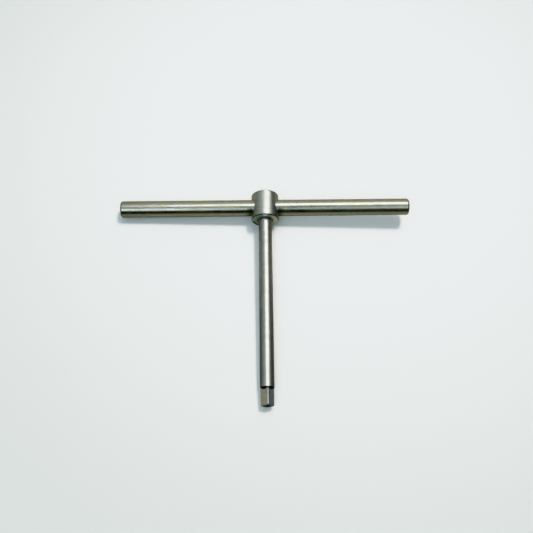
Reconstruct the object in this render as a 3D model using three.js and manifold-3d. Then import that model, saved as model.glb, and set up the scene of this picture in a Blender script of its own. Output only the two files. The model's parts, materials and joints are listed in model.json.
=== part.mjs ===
// Sliding-bar T-handle key with a male square drive, for turning square-socket screws and chucks.
//
// One turned steel body carries everything: a round head, a long shank and a square end. A round
// cross bar slides through the head. A spring-loaded ball in a pocket under the bore presses on the
// bar, so that the bar stays where it is put, and a plug closes the pocket's drilling in the head.
//
// Millimetres, +Z up, lying on its side. The bar lies along X. The body's axis lies along Y at the
// height of the head's radius, with the square end towards -Y. The origin is under the middle of the
// whole tool, on the surface that it lies on.

import * as THREE from 'three';
import { mergeVertices } from 'three/addons/utils/BufferGeometryUtils.js';
import Module from 'manifold-3d';

// Driving dimensions of the body.
const headDiameter = 16.5;
const headLength = 17;
const headChamfer = 0.5;
const shankDiameter = 8;
const shankLength = 105;
const rootFilletRadius = 0.6;
const squareAcrossFlats = 5.5;
const squareAcrossCorners = 7.4;
const squareLength = 9;
const squareEndChamfer = 0.5;
const squareClocking = 5; // degrees that the square is turned away from one corner straight up

// Driving dimensions of the bar and its running fit.
const barDiameter = 10;
const barLength = 176;
const barChamfer = 0.8;
const boreClearance = 0.05;

// Driving dimensions of the ball, spring and plug in the pocket.
const pocketDiameter = 3.2;
const pocketDepth = 12; // below the cross bore
const drillPointAngle = 118;
const ballDiameter = 3;
const ballGap = 0.03;
const springWireDiameter = 0.4;
const springMeanDiameter = 2.4;
const springTurns = 6;
const springGap = 0.1;
const plugLength = 2.8;
const plugRecess = 0.2;
const plugClearance = 0.04;
const plugChamfer = 0.2;

// How far a cutter reaches out past the surface that it cuts.
const cutterOvershoot = 1;

// Fineness of the round surfaces, and how close two points must be to be welded into one.
const roundSegments = 72;
const smallRoundSegments = 24;
const filletSteps = 4;
const wireSides = 6;
const wireStepsPerTurn = 12;
const weldDistance = 1e-5;

// Places worked out from the dimensions, measured along the body's axis from the bar's centre line.
const headTopY = headLength / 2;
const headBottomY = -headLength / 2;
const shoulderY = headBottomY - shankLength;
const driveEndY = shoulderY - squareLength;
const boreRadius = barDiameter / 2 + boreClearance;
const pocketFloorY = -barDiameter / 2 - pocketDepth;
const ballY = -barDiameter / 2 - ballGap - ballDiameter / 2;

const wasm = await Module();
wasm.setup();

// Turns a closed three.js geometry into a solid that can be cut and joined.
function solidFrom(geometry) {
  const bare = geometry.clone();
  bare.deleteAttribute('normal');
  bare.deleteAttribute('uv');
  const merged = mergeVertices(bare, weldDistance);
  const corners = Array.from(merged.index.array);
  const triangles = [];
  for (let i = 0; i < corners.length; i += 3) {
    const [a, b, c] = corners.slice(i, i + 3);
    if (a !== b && b !== c && c !== a) {
      triangles.push(a, b, c);
    }
  }
  const mesh = new wasm.Mesh({
    numProp: 3,
    vertProperties: new Float32Array(merged.attributes.position.array),
    triVerts: new Uint32Array(triangles),
  });
  return new wasm.Manifold(mesh);
}

// Turns a solid back into a geometry for a mesh.
function geometryFrom(solid) {
  const mesh = solid.getMesh();
  const geometry = new THREE.BufferGeometry();
  geometry.setAttribute('position', new THREE.BufferAttribute(mesh.vertProperties, 3));
  geometry.setIndex(new THREE.BufferAttribute(mesh.triVerts, 1));
  geometry.computeVertexNormals();
  return geometry;
}

// A solid of revolution about Y. The profile's points are [radius, y], from the low end to the high.
function turned(profile, segments) {
  const points = profile.map(([radius, y]) => new THREE.Vector2(radius, y));
  return new THREE.LatheGeometry(points, segments);
}

// A plain rod about Y with the same 45 degree chamfer at each end.
function chamferedRod(diameter, length, chamfer, segments) {
  const radius = diameter / 2;
  const half = length / 2;
  return turned([
    [0, -half],
    [radius - chamfer, -half],
    [radius, -half + chamfer],
    [radius, half - chamfer],
    [radius - chamfer, half],
    [0, half],
  ], segments);
}

// The quarter round where the shank runs into the head's flat underside.
function rootFillet() {
  const centreRadius = shankDiameter / 2 + rootFilletRadius;
  const centreY = headBottomY - rootFilletRadius;
  const points = [];
  for (let step = 0; step <= filletSteps; step += 1) {
    const angle = Math.PI - (step / filletSteps) * (Math.PI / 2);
    points.push([
      centreRadius + rootFilletRadius * Math.cos(angle),
      centreY + rootFilletRadius * Math.sin(angle),
    ]);
  }
  return points;
}

// The head and shank as turned in the lathe, with a 45 degree cone down to the square's flats.
function turnedBlank() {
  const headRadius = headDiameter / 2;
  const shankRadius = shankDiameter / 2;
  const coneRadius = squareAcrossFlats / 2;
  return turned([
    [0, shoulderY],
    [coneRadius, shoulderY],
    [shankRadius, shoulderY + shankRadius - coneRadius],
    ...rootFillet(),
    [headRadius - headChamfer, headBottomY],
    [headRadius, headBottomY + headChamfer],
    [headRadius, headTopY - headChamfer],
    [headRadius - headChamfer, headTopY],
    [0, headTopY],
  ], roundSegments);
}

// The square end: a square prism whose corners are turned to a round, with a chamfered tip.
function squareDrive() {
  const rootY = shoulderY + shankDiameter / 2;
  const length = rootY - driveEndY;
  const prism = new THREE.BoxGeometry(squareAcrossFlats, length, squareAcrossFlats);
  prism.rotateY(THREE.MathUtils.degToRad(45 + squareClocking));
  prism.translate(0, (rootY + driveEndY) / 2, 0);
  const cornerRadius = squareAcrossCorners / 2;
  const round = turned([
    [0, driveEndY],
    [cornerRadius - squareEndChamfer, driveEndY],
    [cornerRadius, driveEndY + squareEndChamfer],
    [cornerRadius, rootY],
    [0, rootY],
  ], roundSegments);
  return solidFrom(prism).intersect(solidFrom(round));
}

// The bore across the head. It has the bar's own facets, so the running gap is even all round.
function crossBore() {
  const length = headDiameter + 2 * (barChamfer + cutterOvershoot);
  const bore = chamferedRod(boreRadius * 2, length, barChamfer, roundSegments);
  bore.rotateZ(-Math.PI / 2);
  return solidFrom(bore);
}

// The drilling for ball and spring: in through the head's top, across the bore and into the shank.
function pocketDrilling() {
  const radius = pocketDiameter / 2;
  const pointLength = radius / Math.tan(THREE.MathUtils.degToRad(drillPointAngle / 2));
  const drilling = turned([
    [0, pocketFloorY - pointLength],
    [radius, pocketFloorY],
    [radius, headTopY + cutterOvershoot],
    [0, headTopY + cutterOvershoot],
  ], smallRoundSegments);
  return solidFrom(drilling);
}

function wrenchBodyGeometry() {
  const outside = solidFrom(turnedBlank()).add(squareDrive());
  return geometryFrom(outside.subtract(crossBore()).subtract(pocketDrilling()));
}

function crossBarGeometry() {
  const bar = chamferedRod(barDiameter, barLength, barChamfer, roundSegments);
  bar.rotateZ(-Math.PI / 2);
  return bar;
}

function detentBallGeometry() {
  return new THREE.SphereGeometry(ballDiameter / 2, smallRoundSegments, smallRoundSegments / 2);
}

// A coil spring from the pocket's floor up to the ball, which sits in the mouth of its top turn.
function detentSpringGeometry() {
  const coilRadius = springMeanDiameter / 2;
  const reach = (ballDiameter + springWireDiameter) / 2 + springGap;
  const topY = ballY - Math.sqrt(reach * reach - coilRadius * coilRadius);
  const bottomY = pocketFloorY + springWireDiameter / 2 + springGap;
  const steps = springTurns * wireStepsPerTurn;
  const points = [];
  for (let step = 0; step <= steps; step += 1) {
    const angle = (step / wireStepsPerTurn) * 2 * Math.PI;
    points.push(new THREE.Vector3(
      coilRadius * Math.cos(angle),
      THREE.MathUtils.lerp(bottomY, topY, step / steps),
      coilRadius * Math.sin(angle),
    ));
  }
  const section = new THREE.Shape();
  for (let side = 0; side < wireSides; side += 1) {
    const angle = (side / wireSides) * 2 * Math.PI;
    const x = (springWireDiameter / 2) * Math.cos(angle);
    const y = (springWireDiameter / 2) * Math.sin(angle);
    if (side === 0) {
      section.moveTo(x, y);
    } else {
      section.lineTo(x, y);
    }
  }
  return new THREE.ExtrudeGeometry(section, {
    steps,
    extrudePath: new THREE.CatmullRomCurve3(points),
    bevelEnabled: false,
  });
}

function pocketPlugGeometry() {
  const diameter = pocketDiameter - 2 * plugClearance;
  return chamferedRod(diameter, plugLength, plugChamfer, smallRoundSegments);
}

const turnedSteel = new THREE.MeshStandardMaterial({ color: 0x9aa09a, roughness: 0.3, metalness: 1 });
const drawnSteel = new THREE.MeshStandardMaterial({ color: 0xa3a190, roughness: 0.25, metalness: 1 });
const ballSteel = new THREE.MeshStandardMaterial({ color: 0xb4b8ba, roughness: 0.1, metalness: 1 });
const springSteel = new THREE.MeshStandardMaterial({ color: 0x6f7072, roughness: 0.35, metalness: 1 });
const plugSteel = new THREE.MeshStandardMaterial({ color: 0x8e9391, roughness: 0.35, metalness: 1 });

function namedMesh(name, geometry, material) {
  const mesh = new THREE.Mesh(geometry, material);
  mesh.name = name;
  return mesh;
}

const wrenchBody = namedMesh('wrench_body', wrenchBodyGeometry(), turnedSteel);

const crossBar = namedMesh('cross_bar', crossBarGeometry(), drawnSteel);

const detentBall = namedMesh('detent_ball', detentBallGeometry(), ballSteel);
detentBall.position.y = ballY;

const detentSpring = namedMesh('detent_spring', detentSpringGeometry(), springSteel);

const pocketPlug = namedMesh('pocket_plug', pocketPlugGeometry(), plugSteel);
pocketPlug.position.y = headTopY - plugRecess - plugLength / 2;

const tHandleKey = new THREE.Group();
tHandleKey.add(wrenchBody, crossBar, detentBall, detentSpring, pocketPlug);
tHandleKey.position.set(0, -(headTopY + driveEndY) / 2, headDiameter / 2);

export default tHandleKey;
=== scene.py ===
"""The looks of the sliding T-bar key: finer meshes, worn steel finishes and a plain pale studio.

Metres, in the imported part's own frame. The cross bar lies along X. The body's axis lies along Y,
with the head towards +Y and the square end towards -Y. +Z is up.
"""
import json
import math

import bmesh
import bpy
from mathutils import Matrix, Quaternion, Vector


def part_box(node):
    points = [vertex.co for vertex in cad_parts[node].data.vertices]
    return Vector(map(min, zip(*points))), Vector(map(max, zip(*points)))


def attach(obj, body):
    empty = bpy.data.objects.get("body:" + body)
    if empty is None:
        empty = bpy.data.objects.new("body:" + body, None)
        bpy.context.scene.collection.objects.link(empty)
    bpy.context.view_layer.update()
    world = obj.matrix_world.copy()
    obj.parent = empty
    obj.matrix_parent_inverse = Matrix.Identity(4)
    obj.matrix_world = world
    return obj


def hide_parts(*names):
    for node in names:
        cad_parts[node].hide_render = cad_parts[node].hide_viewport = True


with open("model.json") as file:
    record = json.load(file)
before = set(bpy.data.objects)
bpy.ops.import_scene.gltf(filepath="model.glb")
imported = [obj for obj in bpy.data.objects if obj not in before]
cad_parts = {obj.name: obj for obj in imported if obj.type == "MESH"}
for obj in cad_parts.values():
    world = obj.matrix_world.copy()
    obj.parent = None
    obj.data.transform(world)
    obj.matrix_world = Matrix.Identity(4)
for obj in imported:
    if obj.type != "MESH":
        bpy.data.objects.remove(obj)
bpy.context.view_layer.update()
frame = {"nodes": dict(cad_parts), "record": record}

MM = 0.001

# ---------------------------------------------------------------- facts from the frame

body_low, body_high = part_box("wrench_body")
bar_low, bar_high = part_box("cross_bar")
plug_low, plug_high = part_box("pocket_plug")
mounts = {mount["name"]: mount for mount in frame["record"]["mounts"]}

AXIS_X = (body_low.x + body_high.x) / 2
AXIS_Z = (body_low.z + body_high.z) / 2
HEAD_RADIUS = (body_high.x - body_low.x) / 2
HEAD_TOP_Y = body_high.y
HEAD_UNDER_Y = mounts["head_underside"]["pos_m"][1]
HEAD_MIDDLE_Y = (HEAD_TOP_Y + HEAD_UNDER_Y) / 2
DRIVE_END_Y = body_low.y
BAR_Y = (bar_low.y + bar_high.y) / 2
BAR_RADIUS = (bar_high.z - bar_low.z) / 2
FLAT_NORMAL = mounts["drive_flat_upper_right"]["axis"]
FLAT_TURN = math.atan2(FLAT_NORMAL[0], FLAT_NORMAL[2])

# ---------------------------------------------------------------- the part's other sizes

SHANK_RADIUS = 4 * MM
SHANK_LENGTH = 105 * MM
SHOULDER_Y = HEAD_UNDER_Y - SHANK_LENGTH
SQUARE_HALF = 2.75 * MM
SQUARE_CORNER_RADIUS = 3.7 * MM
SQUARE_END_CHAMFER = 0.5 * MM
HEAD_CHAMFER = 0.5 * MM
ROOT_FILLET = 0.6 * MM
BORE_RADIUS = BAR_RADIUS + 0.05 * MM
BORE_MOUTH_CHAMFER = 0.2 * MM
BAR_CHAMFER = 0.8 * MM
POCKET_RADIUS = 1.6 * MM
POCKET_FLOOR = BAR_RADIUS + 12 * MM
CUTTER_OVERSHOOT = 1 * MM
PLUG_CHAMFER = 0.2 * MM
EDGE_BREAK = 0.07 * MM

# ---------------------------------------------------------------- the studio

FLOOR_REACH = 6.0
FLOOR_GAP = 0.02 * MM
FLOOR_BEND = 25 * MM
# how far past the tool's ends the floor levels out
LEVEL_ON_THE_RIGHT = 150 * MM
LEVEL_IN_FRONT = 200 * MM
LEVEL_BEHIND = 120 * MM
FLOOR_COLOUR = (0.825, 0.84, 0.85, 1)
# painted falloff of light: the floor's colour far from its brightest place
FLOOR_PAINTED_FALLOFF_COLOUR = (0.65, 0.675, 0.665, 1)
FLOOR_IN_STEEL = (0.33, 0.33, 0.265, 1)
FRONT_FLOOR_IN_STEEL = (0.10, 0.105, 0.10, 1)
BRIGHTEST_PLACE = (0.05, 0.12, 0.0)
BACKDROP_COLOUR = (0.73, 0.772, 0.756, 1)

KEY_TOWARD = (0.37, 0.345, 1)
KEY_HALF_ANGLE = math.radians(4.5)
KEY_BRIGHTNESS = 0.41
KEY_COLOUR = (1.0, 0.85, 0.78)
FILL_TOWARD = (-0.35, -0.6, 1)
FILL_HALF_ANGLE = math.radians(24)
FILL_BRIGHTNESS = 0.135
FILL_COLOUR = (0.75, 1.0, 1.12)

ROOM_COLOUR = (0.87, 1.0, 1.03, 1)
BACK_WALL_COLOUR = (0.98, 1.0, 0.84, 1)
CEILING_COLOUR = (1.0, 0.98, 0.98, 1)
CEILING_BRIGHTNESS = 4.2

SENSOR_WIDTH = 36
CAMERA_LENS = 48.26
CAMERA_DISTANCE = 422.68 * MM
CAMERA_AZIMUTH = math.radians(-0.898)
CAMERA_ELEVATION = math.radians(65.914)
CAMERA_ROLL = math.radians(0.218)
AIM_RIGHT_OF_AXIS = 0.45 * MM
AIM_BELOW_BAR = 39.28 * MM

# ---------------------------------------------------------------- colours of the steels

STAINED_TURNED = (0.47, 0.475, 0.425, 1)
CLEAN_TURNED = (0.57, 0.575, 0.54, 1)
POLISH_MARK = (0.36, 0.36, 0.30, 1)
# painted reflection: a lighter colour for the head's underside, for the bright floor that it mirrors
UNDERSIDE_PAINTED_SHEEN = (0.78, 0.83, 0.79, 1)
# painted light on the left flats (lighter, warmer) and painted shade on the right flats (darker, cooler)
LEFT_FLAT_PAINTED_LIGHT_DARK = (0.92, 0.82, 0.62, 1)
LEFT_FLAT_PAINTED_LIGHT_PALE = (1.0, 0.94, 0.76, 1)
RIGHT_FLAT_PAINTED_SHADE_DARK = (0.72, 0.78, 0.81, 1)
RIGHT_FLAT_PAINTED_SHADE_PALE = (0.85, 0.90, 0.93, 1)
CLEAN_DRAWN = (0.55, 0.555, 0.53, 1)
OILED_DRAWN = (0.52, 0.51, 0.40, 1)
DRAW_LINE = (0.33, 0.325, 0.25, 1)
# painted reflection: near black for the bar's end chamfers, which mirror the dark room
BAR_END_PAINTED_REFLECTION = (0.09, 0.085, 0.09, 1)
# painted shade: near black, painted where shade falls and where the steel mirrors something dark
PAINTED_SHADE_COLOUR = (0.05, 0.05, 0.045, 1)
PLUG = (0.56, 0.58, 0.57, 1)
BALL = (0.72, 0.73, 0.74, 1)
SPRING = (0.42, 0.42, 0.43, 1)

# ---------------------------------------------------------------- fineness of the meshes

FLAT_MIDDLE_STEPS = 20
FLAT_EDGE_STEPS = 4
CORNER_STEPS = 4
ROUND_STEPS = 4 * (FLAT_MIDDLE_STEPS + 2 * FLAT_EDGE_STEPS + CORNER_STEPS)
HEAD_SIDE_STEPS = 24
HEAD_SPREAD_STEPS = 7
HEAD_SPREAD_POWER = 1.5
SHANK_STEPS = 16
FILLET_STEPS = 8
BAR_STEPS = 24
BAR_ROUND_STEPS = 144
PLUG_ROUND_STEPS = 48
BORE_STEPS = 6
BEND_STEPS = 24
SHARP_ANGLE = math.radians(25)
LARGE_FACE_WEIGHT = 80
WELD_DISTANCE = 1e-7
CUT_WELD_DISTANCE = 2e-6


# ---------------------------------------------------------------- mesh helpers

def add_loop(mesh, points):
    return [mesh.verts.new(point) for point in points]


def bridge(mesh, first, second, turn=0):
    """Quads between two closed loops of the same length, the second one turned on by some steps."""
    count = len(first)
    for i in range(count):
        j = (i + 1) % count
        mesh.faces.new((first[i], first[j], second[(j + turn) % count], second[(i + turn) % count]))


def round_axis(angle, radius, y):
    """A point round the body's axis. The angle is measured from +Z towards +X."""
    return Vector((AXIS_X + radius * math.sin(angle), y, AXIS_Z + radius * math.cos(angle)))


def ring(radius, y, angles):
    return [round_axis(a, radius, y) for a in angles]


def even_angles(count):
    return [2 * math.pi * i / count for i in range(count)]


def weld(mesh, distance):
    """Joins points that lie closer than a distance, and takes out what that leaves without area."""
    bmesh.ops.remove_doubles(mesh, verts=mesh.verts, dist=distance)
    bmesh.ops.dissolve_degenerate(mesh, edges=mesh.edges, dist=distance)


def piece_from(mesh, name, break_edges=True):
    """Welds and closes the mesh, breaks its sharp edges and makes the object."""
    weld(mesh, WELD_DISTANCE)
    bmesh.ops.recalc_face_normals(mesh, faces=mesh.faces)
    if break_edges:
        sharp = [e for e in mesh.edges if e.is_manifold and e.calc_face_angle() > SHARP_ANGLE]
        bmesh.ops.bevel(
            mesh, geom=sharp, offset=EDGE_BREAK, segments=2, profile=0.5, affect="EDGES",
            clamp_overlap=True,
        )
    data = bpy.data.meshes.new(name)
    mesh.to_mesh(data)
    mesh.free()
    data.polygons.foreach_set("use_smooth", [True] * len(data.polygons))
    piece = bpy.data.objects.new(name, data)
    bpy.context.scene.collection.objects.link(piece)
    return piece


def even_out_shading(piece):
    """Flat faces shade flat and round ones round, on both sides of each broken edge."""
    weighted = piece.modifiers.new("weighted_normals", "WEIGHTED_NORMAL")
    weighted.mode = "FACE_AREA_WITH_ANGLE"
    weighted.weight = LARGE_FACE_WEIGHT
    weighted.keep_sharp = False


# ---------------------------------------------------------------- the body's outline

def square_angles():
    """Angles round the axis that fall on the square's corners, flats and end chamfer."""
    flat_edge = math.acos(SQUARE_HALF / SQUARE_CORNER_RADIUS)
    chamfer_edge = math.acos(SQUARE_HALF / (SQUARE_CORNER_RADIUS - SQUARE_END_CHAMFER))
    corner_width = math.pi / 2 - 2 * flat_edge
    spans = [
        (-flat_edge, -chamfer_edge, FLAT_EDGE_STEPS),
        (-chamfer_edge, chamfer_edge, FLAT_MIDDLE_STEPS),
        (chamfer_edge, flat_edge, FLAT_EDGE_STEPS),
        (flat_edge, flat_edge + corner_width, CORNER_STEPS),
    ]
    angles = []
    for quarter in range(4):
        middle = FLAT_TURN + quarter * math.pi / 2
        for start, end, steps in spans:
            angles += [middle + start + (end - start) * i / steps for i in range(steps)]
    return angles


def square_radius(angle):
    """The square's own radius in a direction, with its corners turned round."""
    from_flat = (angle - FLAT_TURN + math.pi / 4) % (math.pi / 2) - math.pi / 4
    return min(SQUARE_CORNER_RADIUS, SQUARE_HALF / math.cos(from_flat))


def polar_loop(mesh, angles, radii, heights):
    return add_loop(mesh, [round_axis(a, r, y) for a, r, y in zip(angles, radii, heights)])


def add_square_and_shank(mesh):
    """The outline from the square's tip to the shank's root. Returns the last loop."""
    angles = square_angles()
    end_radius = SQUARE_CORNER_RADIUS - SQUARE_END_CHAMFER
    radii = [square_radius(a) for a in angles]
    end_radii = [min(r, end_radius) for r in radii]
    loops = [
        polar_loop(mesh, angles, end_radii, [DRIVE_END_Y] * len(angles)),
        polar_loop(mesh, angles, radii, [DRIVE_END_Y + r - e for r, e in zip(radii, end_radii)]),
        polar_loop(mesh, angles, radii, [SHOULDER_Y + r - SQUARE_HALF for r in radii]),
    ]
    mesh.faces.new(loops[0])
    start_y = SHOULDER_Y + SHANK_RADIUS - SQUARE_HALF
    end_y = HEAD_UNDER_Y - ROOT_FILLET
    for i in range(SHANK_STEPS + 1):
        y = start_y + (end_y - start_y) * i / SHANK_STEPS
        loops.append(add_loop(mesh, ring(SHANK_RADIUS, y, angles)))
    for i in range(1, FILLET_STEPS + 1):
        turn = math.pi / 2 * i / FILLET_STEPS
        radius = SHANK_RADIUS + ROOT_FILLET * (1 - math.cos(turn))
        loops.append(add_loop(mesh, ring(radius, end_y + ROOT_FILLET * math.sin(turn), angles)))
    for lower, upper in zip(loops, loops[1:]):
        bridge(mesh, lower, upper)
    return loops[-1]


# ---------------------------------------------------------------- the head and its cross bore

def head_side_border():
    """The border of half of the head's side, unrolled: pairs of (arc angle from the bore, height)."""
    half_height = (HEAD_TOP_Y - HEAD_UNDER_Y) / 2 - HEAD_CHAMFER
    quarter_turn = math.pi / 2
    across = ROUND_STEPS // 2
    border = []
    for i in range(across):
        border.append((-quarter_turn + math.pi * i / across, half_height))
    for i in range(HEAD_SIDE_STEPS):
        border.append((quarter_turn, half_height - 2 * half_height * i / HEAD_SIDE_STEPS))
    for i in range(across):
        border.append((quarter_turn - math.pi * i / across, -half_height))
    for i in range(HEAD_SIDE_STEPS):
        border.append((-quarter_turn, -half_height + 2 * half_height * i / HEAD_SIDE_STEPS))
    return border


def on_head(side, arc_angle, height):
    """A point on the head's side. side is 1 for the half towards +X and -1 for the other."""
    return Vector((
        AXIS_X + side * HEAD_RADIUS * math.cos(arc_angle),
        HEAD_MIDDLE_Y + height,
        AXIS_Z + HEAD_RADIUS * math.sin(arc_angle),
    ))


def add_head_side(mesh, side):
    """Half of the head's side round one bore mouth. Returns the loop where the plain bore begins."""
    border = head_side_border()
    mouth_radius = BORE_RADIUS + BORE_MOUTH_CHAMFER
    turns = [math.atan2(HEAD_RADIUS * arc, height) for arc, height in border]
    mouth = [
        (math.asin(mouth_radius * math.sin(t) / HEAD_RADIUS), mouth_radius * math.cos(t))
        for t in turns
    ]
    loops = []
    for step in range(HEAD_SPREAD_STEPS + 1):
        share = (step / HEAD_SPREAD_STEPS) ** HEAD_SPREAD_POWER
        loops.append(add_loop(mesh, [
            on_head(side, m[0] + (b[0] - m[0]) * share, m[1] + (b[1] - m[1]) * share)
            for m, b in zip(mouth, border)
        ]))
    inner = []
    for turn in turns:
        rise = BORE_RADIUS * math.sin(turn)
        out = math.sqrt(HEAD_RADIUS**2 - rise**2) - BORE_MOUTH_CHAMFER
        y = HEAD_MIDDLE_Y + BORE_RADIUS * math.cos(turn)
        inner.append(Vector((AXIS_X + side * out, y, AXIS_Z + rise)))
    loops.insert(0, add_loop(mesh, inner))
    for near, far in zip(loops, loops[1:]):
        bridge(mesh, near, far)
    return loops[0]


def add_bore_wall(mesh, right, left):
    """The bore's wall between its two mouths."""
    loops = [right]
    for step in range(1, BORE_STEPS):
        share = step / BORE_STEPS
        loops.append(add_loop(mesh, [a.co.lerp(b.co, share) for a, b in zip(right, left)]))
    loops.append(left)
    for near, far in zip(loops, loops[1:]):
        bridge(mesh, near, far)


def add_head_ends(mesh, root_loop):
    """The head's two chamfers, its flat underside out from the shank's root, and its flat top."""
    angles = even_angles(ROUND_STEPS)
    flat_radius = HEAD_RADIUS - HEAD_CHAMFER
    under = add_loop(mesh, ring(flat_radius, HEAD_UNDER_Y, angles))
    under_side = add_loop(mesh, ring(HEAD_RADIUS, HEAD_UNDER_Y + HEAD_CHAMFER, angles))
    top_side = add_loop(mesh, ring(HEAD_RADIUS, HEAD_TOP_Y - HEAD_CHAMFER, angles))
    top = add_loop(mesh, ring(flat_radius, HEAD_TOP_Y, angles))
    bridge(mesh, under, under_side)
    bridge(mesh, top_side, top)
    mesh.faces.new(top)
    first = root_loop[0].co
    first_angle = math.atan2(first.x - AXIS_X, first.z - AXIS_Z)
    bridge(mesh, root_loop, under, round(first_angle / (2 * math.pi) * ROUND_STEPS))


def pocket_cutter():
    """A plain cylinder as wide as the pocket, from its floor to a little above the head's top."""
    mesh = bmesh.new()
    angles = even_angles(PLUG_ROUND_STEPS)
    low = add_loop(mesh, ring(POCKET_RADIUS, BAR_Y - POCKET_FLOOR, angles))
    high = add_loop(mesh, ring(POCKET_RADIUS, HEAD_TOP_Y + CUTTER_OVERSHOOT, angles))
    bridge(mesh, low, high)
    mesh.faces.new(low)
    mesh.faces.new(high)
    return piece_from(mesh, "pocket_cutter", break_edges=False)


def drilled(piece):
    """Cuts the pocket for ball and spring: in through the head's top and on into the shank."""
    cutter = pocket_cutter()
    cut = piece.modifiers.new("pocket", "BOOLEAN")
    cut.operation = "DIFFERENCE"
    cut.solver = "EXACT"
    cut.object = cutter
    evaluated = piece.evaluated_get(bpy.context.evaluated_depsgraph_get())
    data = bpy.data.meshes.new_from_object(evaluated)
    piece.modifiers.clear()
    piece.data = data
    mesh = bmesh.new()
    mesh.from_mesh(data)
    weld(mesh, CUT_WELD_DISTANCE)
    mesh.to_mesh(data)
    mesh.free()
    bpy.data.objects.remove(cutter)
    return piece


def make_body():
    mesh = bmesh.new()
    root_loop = add_square_and_shank(mesh)
    right = add_head_side(mesh, 1)
    left = add_head_side(mesh, -1)
    add_bore_wall(mesh, right, left)
    add_head_ends(mesh, root_loop)
    body = drilled(piece_from(mesh, "turned_body"))
    even_out_shading(body)
    return body


# ---------------------------------------------------------------- the bar and the plug

def turned_piece(name, outline, place, steps):
    """A closed turned piece. outline is (radius, distance along) and place puts a point in the frame."""
    mesh = bmesh.new()
    loops = []
    for radius, along in outline:
        points = [place(radius * math.sin(a), radius * math.cos(a), along) for a in even_angles(steps)]
        loops.append(add_loop(mesh, points))
    for near, far in zip(loops, loops[1:]):
        bridge(mesh, near, far)
    mesh.faces.new(loops[0])
    mesh.faces.new(loops[-1])
    piece = piece_from(mesh, name)
    even_out_shading(piece)
    return piece


def make_bar():
    half = (bar_high.x - bar_low.x) / 2 - BAR_CHAMFER
    middle_x = (bar_high.x + bar_low.x) / 2
    outline = [(BAR_RADIUS - BAR_CHAMFER, -half - BAR_CHAMFER)]
    outline += [(BAR_RADIUS, -half + 2 * half * i / BAR_STEPS) for i in range(BAR_STEPS + 1)]
    outline += [(BAR_RADIUS - BAR_CHAMFER, half + BAR_CHAMFER)]

    def place(a, b, along):
        return Vector((middle_x + along, BAR_Y + a, AXIS_Z + b))

    return turned_piece("drawn_bar", outline, place, BAR_ROUND_STEPS)


def make_plug():
    radius = (plug_high.x - plug_low.x) / 2
    outline = [
        (radius - PLUG_CHAMFER, plug_low.y),
        (radius, plug_low.y + PLUG_CHAMFER),
        (radius, plug_high.y - PLUG_CHAMFER),
        (radius - PLUG_CHAMFER, plug_high.y),
    ]

    def place(a, b, along):
        return Vector((AXIS_X + a, along, AXIS_Z + b))

    return turned_piece("pressed_plug", outline, place, PLUG_ROUND_STEPS)


# ---------------------------------------------------------------- node helpers

class Graph:
    """Short ways to add shader nodes to a tree and join them."""

    def __init__(self, tree):
        self.tree = tree

    def node(self, kind, **settings):
        made = self.tree.nodes.new(kind)
        for name, value in settings.items():
            setattr(made, name, value)
        return made

    def put(self, value, socket):
        if isinstance(value, bpy.types.NodeSocket):
            self.tree.links.new(value, socket)
        else:
            socket.default_value = value

    def math(self, operation, first, second=0.0, third=0.0):
        made = self.node("ShaderNodeMath", operation=operation)
        for value, socket in zip((first, second, third), made.inputs):
            self.put(value, socket)
        return made.outputs[0]

    def fold(self, operation, values):
        """Takes the values together one by one, such as into their product."""
        result = values[0]
        for value in values[1:]:
            result = self.math(operation, result, value)
        return result

    def product(self, *values):
        return self.fold("MULTIPLY", values)

    def highest(self, *values):
        return self.fold("MAXIMUM", values)

    def away_from(self, value, centre):
        """How far a value is from a centre, on either side of it."""
        return self.math("ABSOLUTE", self.math("SUBTRACT", value, centre))

    def vector_math(self, operation, first, second):
        made = self.node("ShaderNodeVectorMath", operation=operation)
        self.put(first, made.inputs[0])
        self.put(second, made.inputs[1])
        return made.outputs["Value" if operation == "DISTANCE" else "Vector"]

    def stretch(self, vector, x, y, z):
        return self.vector_math("MULTIPLY", vector, (x, y, z))

    def split(self, vector):
        made = self.node("ShaderNodeSeparateXYZ")
        self.put(vector, made.inputs[0])
        return made.outputs

    def join(self, x, y, z):
        made = self.node("ShaderNodeCombineXYZ")
        for value, socket in zip((x, y, z), made.inputs):
            self.put(value, socket)
        return made.outputs[0]

    def noise(self, vector, scale=1.0, detail=3.0, roughness=0.55):
        made = self.node("ShaderNodeTexNoise")
        self.put(vector, made.inputs["Vector"])
        made.inputs["Scale"].default_value = scale
        made.inputs["Detail"].default_value = detail
        made.inputs["Roughness"].default_value = roughness
        return made.outputs["Fac"]

    def spread(self, value, low, high, out_low=0.0, out_high=1.0):
        """Maps low..high smoothly to out_low..out_high, and holds the ends."""
        made = self.node("ShaderNodeMapRange", interpolation_type="SMOOTHSTEP")
        for item, name in zip(
            (value, low, high, out_low, out_high),
            ("Value", "From Min", "From Max", "To Min", "To Max"),
        ):
            self.put(item, made.inputs[name])
        return made.outputs[0]

    def below(self, value, low, high):
        """1 under low, 0 above high."""
        return self.spread(value, low, high, 1.0, 0.0)

    def mix_colour(self, share, first, second, blend="MIX"):
        made = self.node("ShaderNodeMix", data_type="RGBA", blend_type=blend)
        self.put(share, made.inputs[0])
        self.put(first, made.inputs[6])
        self.put(second, made.inputs[7])
        return made.outputs[2]

    def dimmed(self, colour, level):
        return self.mix_colour(1.0, colour, self.join(level, level, level), "MULTIPLY")

    def bump(self, height, distance):
        made = self.node("ShaderNodeBump")
        made.inputs["Strength"].default_value = 1.0
        made.inputs["Distance"].default_value = distance
        self.put(height, made.inputs["Height"])
        return made.outputs["Normal"]


def empty_material(name):
    """A new material's graph and shader, with the material itself."""
    material = bpy.data.materials.new(name)
    material.use_nodes = True
    shader = next(n for n in material.node_tree.nodes if n.type == "BSDF_PRINCIPLED")
    return material, Graph(material.node_tree), shader


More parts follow.
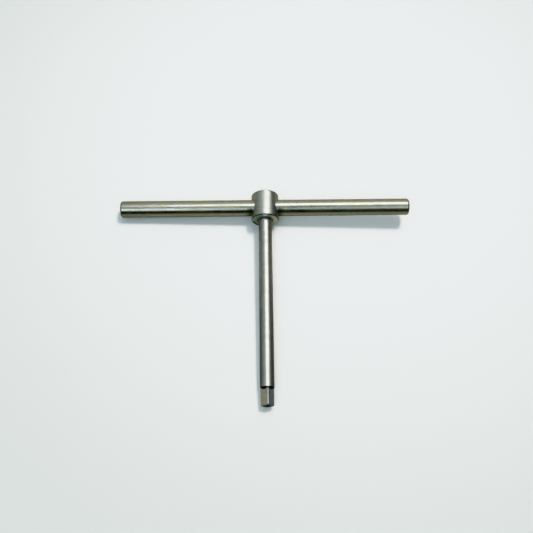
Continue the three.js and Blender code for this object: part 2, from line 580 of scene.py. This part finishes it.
def steel(name):
    """An empty metal material: its graph, its shader, and the place on it.

    The place is in millimetres, from the point where the body's axis crosses the bar's centre line.
    """
    material, graph, shader = empty_material(name)
    shader.inputs["Metallic"].default_value = 1.0
    place = graph.node("ShaderNodeTexCoord").outputs["Object"]
    off_axis = graph.vector_math("SUBTRACT", place, (AXIS_X, BAR_Y, AXIS_Z))
    return material, graph, shader, graph.stretch(off_axis, 1 / MM, 1 / MM, 1 / MM)


# ---------------------------------------------------------------- places for the finishes, in mm

HEAD_R = HEAD_RADIUS / MM
SHANK_R = SHANK_RADIUS / MM
UNDERSIDE_FLAT_R = (HEAD_RADIUS - HEAD_CHAMFER) / MM
UNDERSIDE = (HEAD_UNDER_Y - BAR_Y) / MM
SHOULDER = UNDERSIDE - SHANK_LENGTH / MM
BAR_HALF_LENGTH = (bar_high.x - bar_low.x) / 2 / MM


def around_axis(graph, place):
    """Distance from the body's axis, and the distance along it."""
    x, y, z = graph.split(place)
    square = graph.math("ADD", graph.product(x, x), graph.product(z, z))
    return graph.math("SQRT", square), y


# ---------------------------------------------------------------- painted shade and dark reflections on the body

def painted_shade_at_root(graph, radius, along):
    """Painted shade in the corner between the shank and the head's underside."""
    near_corner = graph.below(graph.away_from(along, UNDERSIDE - 0.3), 0.3, 0.9)
    near_shank = graph.below(radius, SHANK_R + 0.5, SHANK_R + 1.6)
    return graph.product(near_corner, near_shank, 0.7)


def painted_reflection_on_cone(graph, radius, along):
    """A painted dark reflection on the cone between the shank and the square.

    It has no upper limit, so it also darkens what is that near to the axis in the bore and on the
    head's top. Round the plug that shows as a dark disc, which is a known fault.
    """
    inside_shank = graph.below(radius, SHANK_R - 0.15, SHANK_R - 0.02)
    above_square = graph.spread(along, SHOULDER - 0.6, SHOULDER - 0.1)
    return graph.product(inside_shank, above_square, 0.9)


def painted_reflection_on_rim(graph, radius, along):
    """A painted dark reflection on the chamfer round the head's underside."""
    return graph.product(
        graph.below(radius, HEAD_R - 0.08, HEAD_R - 0.03),
        graph.spread(radius, UNDERSIDE_FLAT_R - 0.1, UNDERSIDE_FLAT_R),
        graph.below(along, UNDERSIDE + 0.5, UNDERSIDE + 0.6),
        graph.spread(along, UNDERSIDE + 0.02, UNDERSIDE + 0.08, 0.0, 0.75),
    )


def painted_contact_shadow(graph, place, radius, along):
    """A painted contact shadow: a crescent at the underside's outer edge, low on the left, where the
    head lies on the floor.
    """
    x, _, z = graph.split(place)
    return graph.product(
        graph.below(x, -4.6, -3.2),
        graph.below(z, -2.2, -0.6),
        graph.spread(radius, 6.4, 6.9),
        graph.below(along, UNDERSIDE + 0.5, UNDERSIDE + 0.7),
    )


def painted_shade_on_body(graph, place, radius, along, stains):
    """How much painted shade there is: 0 none, 1 black. The stains thin it in places."""
    painted_dark = graph.highest(
        painted_shade_at_root(graph, radius, along),
        painted_reflection_on_cone(graph, radius, along),
        painted_reflection_on_rim(graph, radius, along),
        painted_contact_shadow(graph, place, radius, along),
    )
    return graph.product(painted_dark, graph.spread(stains, 0.3, 0.55, 0.75, 1.0))


# ---------------------------------------------------------------- finishes

def turned_tone(graph, place, marks, stains):
    """Grey steel with soft stains and darker polishing marks, a painted reflection that lightens the
    underside, and painted shade.
    """
    radius, along = around_axis(graph, place)
    tone = graph.mix_colour(graph.spread(stains, 0.36, 0.66), STAINED_TURNED, CLEAN_TURNED)
    tone = graph.mix_colour(graph.spread(marks, 0.5, 0.8, 0.0, 0.35), tone, POLISH_MARK)
    from_face = graph.math("SUBTRACT", along, UNDERSIDE)
    # painted reflection: the head's underside is made lighter
    underside_sheen = graph.product(graph.below(from_face, 0.02, 0.05), graph.spread(from_face, -0.3, -0.1))
    tone = graph.mix_colour(underside_sheen, tone, UNDERSIDE_PAINTED_SHEEN)
    return graph.mix_colour(painted_shade_on_body(graph, place, radius, along, stains), tone, PAINTED_SHADE_COLOUR)


def turned_finish():
    """Turned and polished steel: faint lathe rings, lengthwise marks, soft stains, a few scratches."""
    material, graph, shader, place = steel("turned_steel")
    radius, along = around_axis(graph, place)
    slow = graph.product(graph.split(place)[0], 0.1)
    rings = graph.noise(graph.join(radius, along, slow), scale=4.0, detail=4.0, roughness=0.7)
    marks = graph.noise(graph.stretch(place, 1.0, 0.06, 1.0), scale=4.0, detail=4.0, roughness=0.7)
    stains = graph.noise(place, scale=0.22, detail=5.0, roughness=0.62)
    scratches = graph.noise(graph.stretch(place, 1.6, 0.22, 1.6), scale=2.2, detail=2.0)
    scratches = graph.spread(scratches, 0.67, 0.73)
    graph.put(turned_tone(graph, place, marks, stains), shader.inputs["Base Color"])

    rough = graph.math("ADD", graph.spread(rings, 0.3, 0.7, 0.31, 0.37),
                       graph.spread(stains, 0.3, 0.7, 0.03, -0.03))
    rough = graph.math("ADD", rough, graph.product(scratches, 0.06))
    graph.put(rough, shader.inputs["Roughness"])
    shader.inputs["Anisotropic"].default_value = 0.6
    tangent = graph.node("ShaderNodeTangent", direction_type="RADIAL", axis="Y")
    graph.put(tangent.outputs[0], shader.inputs["Tangent"])

    height = graph.math("ADD", rings, graph.product(marks, 0.8))
    height = graph.math("SUBTRACT", height, scratches)
    graph.put(graph.bump(height, 0.006 * MM), shader.inputs["Normal"])
    return material


def milled_finish():
    """The square's flats: milled across, with painted light that makes the left flats lighter and
    warmer, and painted shade that makes the right ones darker and cooler.
    """
    material, graph, shader, place = steel("milled_steel")
    feed = graph.noise(graph.stretch(place, 0.15, 1.0, 0.15), scale=3.0, detail=3.0, roughness=0.6)
    stains = graph.noise(place, scale=0.5, detail=4.0, roughness=0.6)
    clean = graph.spread(stains, 0.35, 0.65)
    left_painted_light = graph.mix_colour(clean, LEFT_FLAT_PAINTED_LIGHT_DARK, LEFT_FLAT_PAINTED_LIGHT_PALE)
    right_painted_shade = graph.mix_colour(clean, RIGHT_FLAT_PAINTED_SHADE_DARK, RIGHT_FLAT_PAINTED_SHADE_PALE)
    # painted light and shade: left flats lighter, right flats darker
    tone = graph.mix_colour(graph.spread(graph.split(place)[0], -0.5, 0.5), left_painted_light, right_painted_shade)
    graph.put(tone, shader.inputs["Base Color"])
    graph.put(graph.spread(feed, 0.3, 0.7, 0.33, 0.42), shader.inputs["Roughness"])
    graph.put(graph.bump(graph.math("ADD", feed, stains), 0.012 * MM), shader.inputs["Normal"])
    return material


def drawn_tone(graph, place, lines, film):
    """Steel under an olive film, with painted shade near the left end and beside the head, and painted
    dark reflections on both end chamfers.
    """
    x, y, _ = graph.split(place)
    from_middle = graph.math("ABSOLUTE", x)
    tone = graph.mix_colour(film, CLEAN_DRAWN, OILED_DRAWN)
    tone = graph.mix_colour(graph.spread(lines, 0.48, 0.75, 0.0, 0.3), tone, DRAW_LINE)
    # painted shade: the last 30 mm of the left end darkened, where the highlight is weaker
    left_end_shade = graph.spread(x, -BAR_HALF_LENGTH, -BAR_HALF_LENGTH + 30, 0.2, 0.0)
    tone = graph.mix_colour(left_end_shade, tone, PAINTED_SHADE_COLOUR)
    # painted shade: the bar's lower front side darkened just beside the head
    shade_beside_head = graph.product(
        graph.spread(from_middle, HEAD_R + 0.25, HEAD_R + 4.25, 0.72, 0.0),
        graph.below(y, -3.0, -1.5),
        graph.spread(from_middle, HEAD_R - 1.45, HEAD_R - 0.05),
    )
    tone = graph.mix_colour(shade_beside_head, tone, PAINTED_SHADE_COLOUR)
    # painted dark reflection on both end chamfers
    ends = graph.spread(from_middle, BAR_HALF_LENGTH - 0.95, BAR_HALF_LENGTH - 0.75)
    return graph.mix_colour(graph.product(ends, 0.7), tone, BAR_END_PAINTED_REFLECTION)


def drawn_finish():
    """Cold-drawn bright bar: lengthwise draw lines and a patchy straw-olive film."""
    material, graph, shader, place = steel("drawn_steel")
    lines = graph.noise(graph.stretch(place, 0.03, 1.0, 1.0), scale=6.0, detail=4.0, roughness=0.7)
    streaks = graph.noise(graph.stretch(place, 0.08, 1.0, 1.0), scale=0.8, detail=3.0)
    patches = graph.noise(graph.stretch(place, 0.35, 1.0, 1.0), scale=0.4, detail=5.0, roughness=0.65)
    film = graph.spread(graph.math("ADD", patches, graph.product(streaks, 0.6)), 0.62, 0.92)
    graph.put(drawn_tone(graph, place, lines, film), shader.inputs["Base Color"])
    rough = graph.math("ADD", graph.spread(streaks, 0.3, 0.7, 0.25, 0.32), graph.product(film, 0.04))
    graph.put(rough, shader.inputs["Roughness"])
    height = graph.math("ADD", graph.product(lines, 0.6), graph.product(patches, 3.0))
    graph.put(graph.bump(height, 0.008 * MM), shader.inputs["Normal"])
    return material


def plain_steel_finish(name, colour, rough_low, rough_high):
    """Steel with a faint mottle, for the small inner pieces and the plug."""
    material, graph, shader, place = steel(name)
    mottle = graph.noise(place, scale=2.5, detail=4.0, roughness=0.6)
    darker = tuple(c * 0.8 for c in colour[:3]) + (1,)
    tone = graph.mix_colour(graph.spread(mottle, 0.35, 0.65), darker, colour)
    graph.put(tone, shader.inputs["Base Color"])
    graph.put(graph.spread(mottle, 0.3, 0.7, rough_low, rough_high), shader.inputs["Roughness"])
    graph.put(graph.bump(mottle, 0.004 * MM), shader.inputs["Normal"])
    return material


def mill_the_flats(body, material):
    """Gives the square's flats their own finish. They are the faces that look the way a flat looks."""
    body.data.materials.append(material)
    for face in body.data.polygons:
        turn = math.atan2(face.normal.x, face.normal.z) - FLAT_TURN
        off_flat = abs((turn + math.pi / 4) % (math.pi / 2) - math.pi / 4)
        if face.center.y < SHOULDER_Y and abs(face.normal.y) < 0.01 and off_flat < math.radians(2):
            face.material_index = 1


def clothe(piece, material, body, slot, *nodes):
    """Gives a piece its finish and its body, and hides the CAD nodes that it stands for. The slot is not
    used.
    """
    piece.data.materials.clear()
    piece.data.materials.append(material)
    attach(piece, body)
    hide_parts(*nodes)


# ---------------------------------------------------------------- the floor

def resting_plane():
    """A point in the surface that the tool lies on, and the surface's two directions.

    The tool rests on the head's front rim, the square's lowest corner and the bar's left end.
    """
    tip_drop = max(square_radius(a) * -math.cos(a) for a in square_angles())
    rim = Vector((AXIS_X, HEAD_UNDER_Y + HEAD_CHAMFER, body_low.z))
    tip = Vector((AXIS_X, DRIVE_END_Y + SQUARE_END_CHAMFER, AXIS_Z - tip_drop))
    bar_end = Vector((bar_low.x + BAR_CHAMFER, BAR_Y, bar_low.z))
    along = (rim - tip).normalized()
    across = rim - bar_end
    across = (across - along * across.dot(along)).normalized()
    return rim, across, along


def soft_limit(value, low, high):
    """Holds a value between two limits, and bends gently into each of them."""
    if value < low + FLOOR_BEND:
        return low + max(value - low + FLOOR_BEND, 0) ** 2 / (4 * FLOOR_BEND)
    if value > high - FLOOR_BEND:
        return high - max(high + FLOOR_BEND - value, 0) ** 2 / (4 * FLOOR_BEND)
    return value


def floor_stations(low, high):
    """Places for the floor's grid lines: close together round two places, and one far out each way."""
    stations = [-FLOOR_REACH]
    for limit in (low, high):
        stations += [limit - FLOOR_BEND + 2 * FLOOR_BEND * i / BEND_STEPS for i in range(BEND_STEPS + 1)]
    return stations + [FLOOR_REACH]


def make_floor():
    """A pale sheet. It leans against the tool's three resting points, and levels out round them.

    It is level already where the bar's left end slides out over it.
    """
    rim, across, along = resting_plane()
    up = across.cross(along)
    slope_x = -up.x / up.z
    slope_y = -up.y / up.z
    left, right = bar_low.x, bar_high.x + LEVEL_ON_THE_RIGHT
    front, back = DRIVE_END_Y - LEVEL_IN_FRONT, HEAD_TOP_Y + LEVEL_BEHIND
    columns = floor_stations(left, right)
    rows = floor_stations(front, back)
    points = []
    for x in columns:
        rise_x = slope_x * soft_limit(x - rim.x, left, right)
        for y in rows:
            rise_y = slope_y * soft_limit(y - rim.y, front, back)
            points.append((x, y, rim.z + rise_x + rise_y - FLOOR_GAP))
    faces = []
    for i in range(len(columns) - 1):
        for j in range(len(rows) - 1):
            corner = i * len(rows) + j
            faces.append((corner, corner + len(rows), corner + len(rows) + 1, corner + 1))
    data = bpy.data.meshes.new("floor")
    data.from_pydata(points, [], faces)
    data.polygons.foreach_set("use_smooth", [True] * len(data.polygons))
    data.materials.append(floor_finish())
    floor = bpy.data.objects.new("floor", data)
    bpy.context.scene.collection.objects.link(floor)


def floor_finish():
    """Matt white paint, a little darker further out: a painted falloff of light round its brightest
    place.

    It is darker still in the steel's own reflections, so that the steel keeps its contrast.
    """
    material, graph, shader = empty_material("floor_white")
    place = graph.node("ShaderNodeNewGeometry").outputs["Position"]
    from_brightest = graph.vector_math("DISTANCE", place, BRIGHTEST_PLACE)
    # painted falloff of light: darker away from the brightest place
    white = graph.mix_colour(graph.spread(from_brightest, 0.06, 0.32), FLOOR_COLOUR, FLOOR_PAINTED_FALLOFF_COLOUR)
    near_bar = graph.spread(graph.split(place)[1], -0.015, 0.045)
    in_steel = graph.mix_colour(near_bar, FRONT_FLOOR_IN_STEEL, FLOOR_IN_STEEL)
    ray = graph.node("ShaderNodeLightPath").outputs
    not_bounced = graph.math("LESS_THAN", ray["Diffuse Depth"], 0.5)
    mirrored = graph.product(ray["Is Glossy Ray"], not_bounced)
    graph.put(graph.mix_colour(mirrored, white, in_steel), shader.inputs["Base Color"])
    shader.inputs["Roughness"].default_value = 0.9
    shader.inputs["Specular IOR Level"].default_value = 0.1
    return material


# ---------------------------------------------------------------- light

def make_lamp(name, toward, half_angle, brightness, colour):
    """A far-off lamp that lights the scene but isn't mirrored. The steel mirrors the room instead."""
    toward = Vector(toward).normalized()
    data = bpy.data.lights.new(name, "SUN")
    data.angle = 2 * half_angle
    data.energy = math.pi * brightness / toward.z
    data.color = colour
    lamp = bpy.data.objects.new(name, data)
    lamp.rotation_mode = "QUATERNION"
    lamp.rotation_quaternion = toward.to_track_quat("Z", "Y")
    lamp.visible_glossy = False
    bpy.context.scene.collection.objects.link(lamp)


def make_lamps():
    """A small warm one behind on the right edges the shadows. A big cool one in front fills them."""
    make_lamp("key_light", KEY_TOWARD, KEY_HALF_ANGLE, KEY_BRIGHTNESS, KEY_COLOUR)
    make_lamp("fill_light", FILL_TOWARD, FILL_HALF_ANGLE, FILL_BRIGHTNESS, FILL_COLOUR)


def ceiling_strip(graph, x, y):
    """A lit strip of ceiling behind the tool, further back towards its right. 1 is its middle."""
    middle_x = graph.math("MULTIPLY_ADD", y, 0.75, -0.10)
    return graph.product(
        graph.below(graph.away_from(x, middle_x), 0.17, 0.35),
        graph.below(graph.away_from(y, 0.36), 0.10, 0.24),
    )


def front_strip(graph, x, y):
    """A dimmer strip in front of the tool, brighter on the left and ended on both sides."""
    return graph.product(
        graph.below(graph.away_from(y, -0.55), 0.14, 0.27),
        graph.spread(x, -0.10, 0.04, 3.4, 1.35),
        graph.below(x, 0.3, 0.5),
        graph.spread(x, -0.34, -0.14),
    )


def photographer_shade(graph, x, y):
    """The dark gap in the front strip where the photographer stands: 0 in its middle, 1 outside."""
    place = graph.join(graph.math("SUBTRACT", x, 0.045), graph.math("ADD", y, 0.52), 0.0)
    from_middle = graph.vector_math("DISTANCE", graph.stretch(place, 1, 0.25, 1), (0, 0, 0))
    return graph.spread(from_middle, 0.08, 0.185)


def room(graph, way):
    """How bright the room is in each direction."""
    x, y, z = graph.split(way)
    behind = graph.spread(y, 0.55, 0.85)
    walls = graph.product(
        graph.spread(z, 0.0, 0.7, 0.27, 0.48),
        graph.math("MULTIPLY_ADD", behind, 0.35, 1.0),
    )
    low_in_front = graph.math("MULTIPLY_ADD", z, 0.5, y)
    right_in_front = graph.math("ADD", x, graph.math("MINIMUM", y, 0.0))
    level = graph.product(
        graph.math("ADD", walls, front_strip(graph, x, y)),
        photographer_shade(graph, x, y),
        graph.spread(low_in_front, -0.58, -0.29, 0.005, 1.0),
        graph.spread(right_in_front, 0.42, 0.80, 1.0, 0.12),
        graph.spread(x, -0.85, -0.35, 0.8, 1.0),
    )
    around = graph.dimmed(graph.mix_colour(behind, ROOM_COLOUR, BACK_WALL_COLOUR), level)
    lit = graph.product(ceiling_strip(graph, x, y), CEILING_BRIGHTNESS)
    return graph.mix_colour(1.0, around, graph.dimmed(CEILING_COLOUR, lit), "ADD")


def make_surroundings():
    """A softly lit room, which fills the shadows and shows in the steel, and a plain backdrop."""
    world = bpy.data.worlds.new("studio")
    bpy.context.scene.world = world
    world.use_nodes = True
    graph = Graph(world.node_tree)
    background = next(n for n in world.node_tree.nodes if n.type == "BACKGROUND")
    way = graph.node("ShaderNodeTexCoord").outputs["Generated"]
    seen = graph.node("ShaderNodeLightPath").outputs["Is Camera Ray"]
    colour = graph.mix_colour(seen, room(graph, way), BACKDROP_COLOUR)
    graph.put(colour, background.inputs["Color"])


# ---------------------------------------------------------------- camera

def make_camera():
    """Looks down on the tool from the square's side, a little under half a metre away."""
    data = bpy.data.cameras.new("camera")
    data.sensor_width = SENSOR_WIDTH
    data.lens = CAMERA_LENS
    data.clip_start = 10 * MM
    camera = bpy.data.objects.new("camera", data)
    bpy.context.scene.collection.objects.link(camera)
    aim = Vector((AXIS_X + AIM_RIGHT_OF_AXIS, BAR_Y - AIM_BELOW_BAR, AXIS_Z))
    back = Vector((
        math.sin(CAMERA_AZIMUTH) * math.cos(CAMERA_ELEVATION),
        -math.cos(CAMERA_AZIMUTH) * math.cos(CAMERA_ELEVATION),
        math.sin(CAMERA_ELEVATION),
    ))
    camera.location = aim + back * CAMERA_DISTANCE
    level = (-back).to_track_quat("-Z", "Y")
    camera.rotation_euler = (level @ Quaternion((0, 0, 1), CAMERA_ROLL)).to_euler()
    bpy.context.scene.camera = camera


# ---------------------------------------------------------------- the scene

def make_studio():
    make_floor()
    make_lamps()
    make_surroundings()
    make_camera()
    bpy.context.scene.view_settings.view_transform = "Khronos PBR Neutral"


def make_tool():
    """The body, the bar and the plug in finer meshes. The ball and spring only get a finish."""
    body = make_body()
    clothe(body, turned_finish(), "body", "turned_steel", "wrench_body")
    mill_the_flats(body, milled_finish())
    clothe(make_bar(), drawn_finish(), "bar", "drawn_steel", "cross_bar")
    plug_finish = plain_steel_finish("plug_steel", PLUG, 0.25, 0.35)
    clothe(make_plug(), plug_finish, "body", "plug_steel", "pocket_plug")
    for node, colour in (("detent_ball", BALL), ("detent_spring", SPRING)):
        materials = frame["nodes"][node].data.materials
        materials.clear()
        materials.append(plain_steel_finish(node + "_steel", colour, 0.1, 0.25))


make_studio()
make_tool()
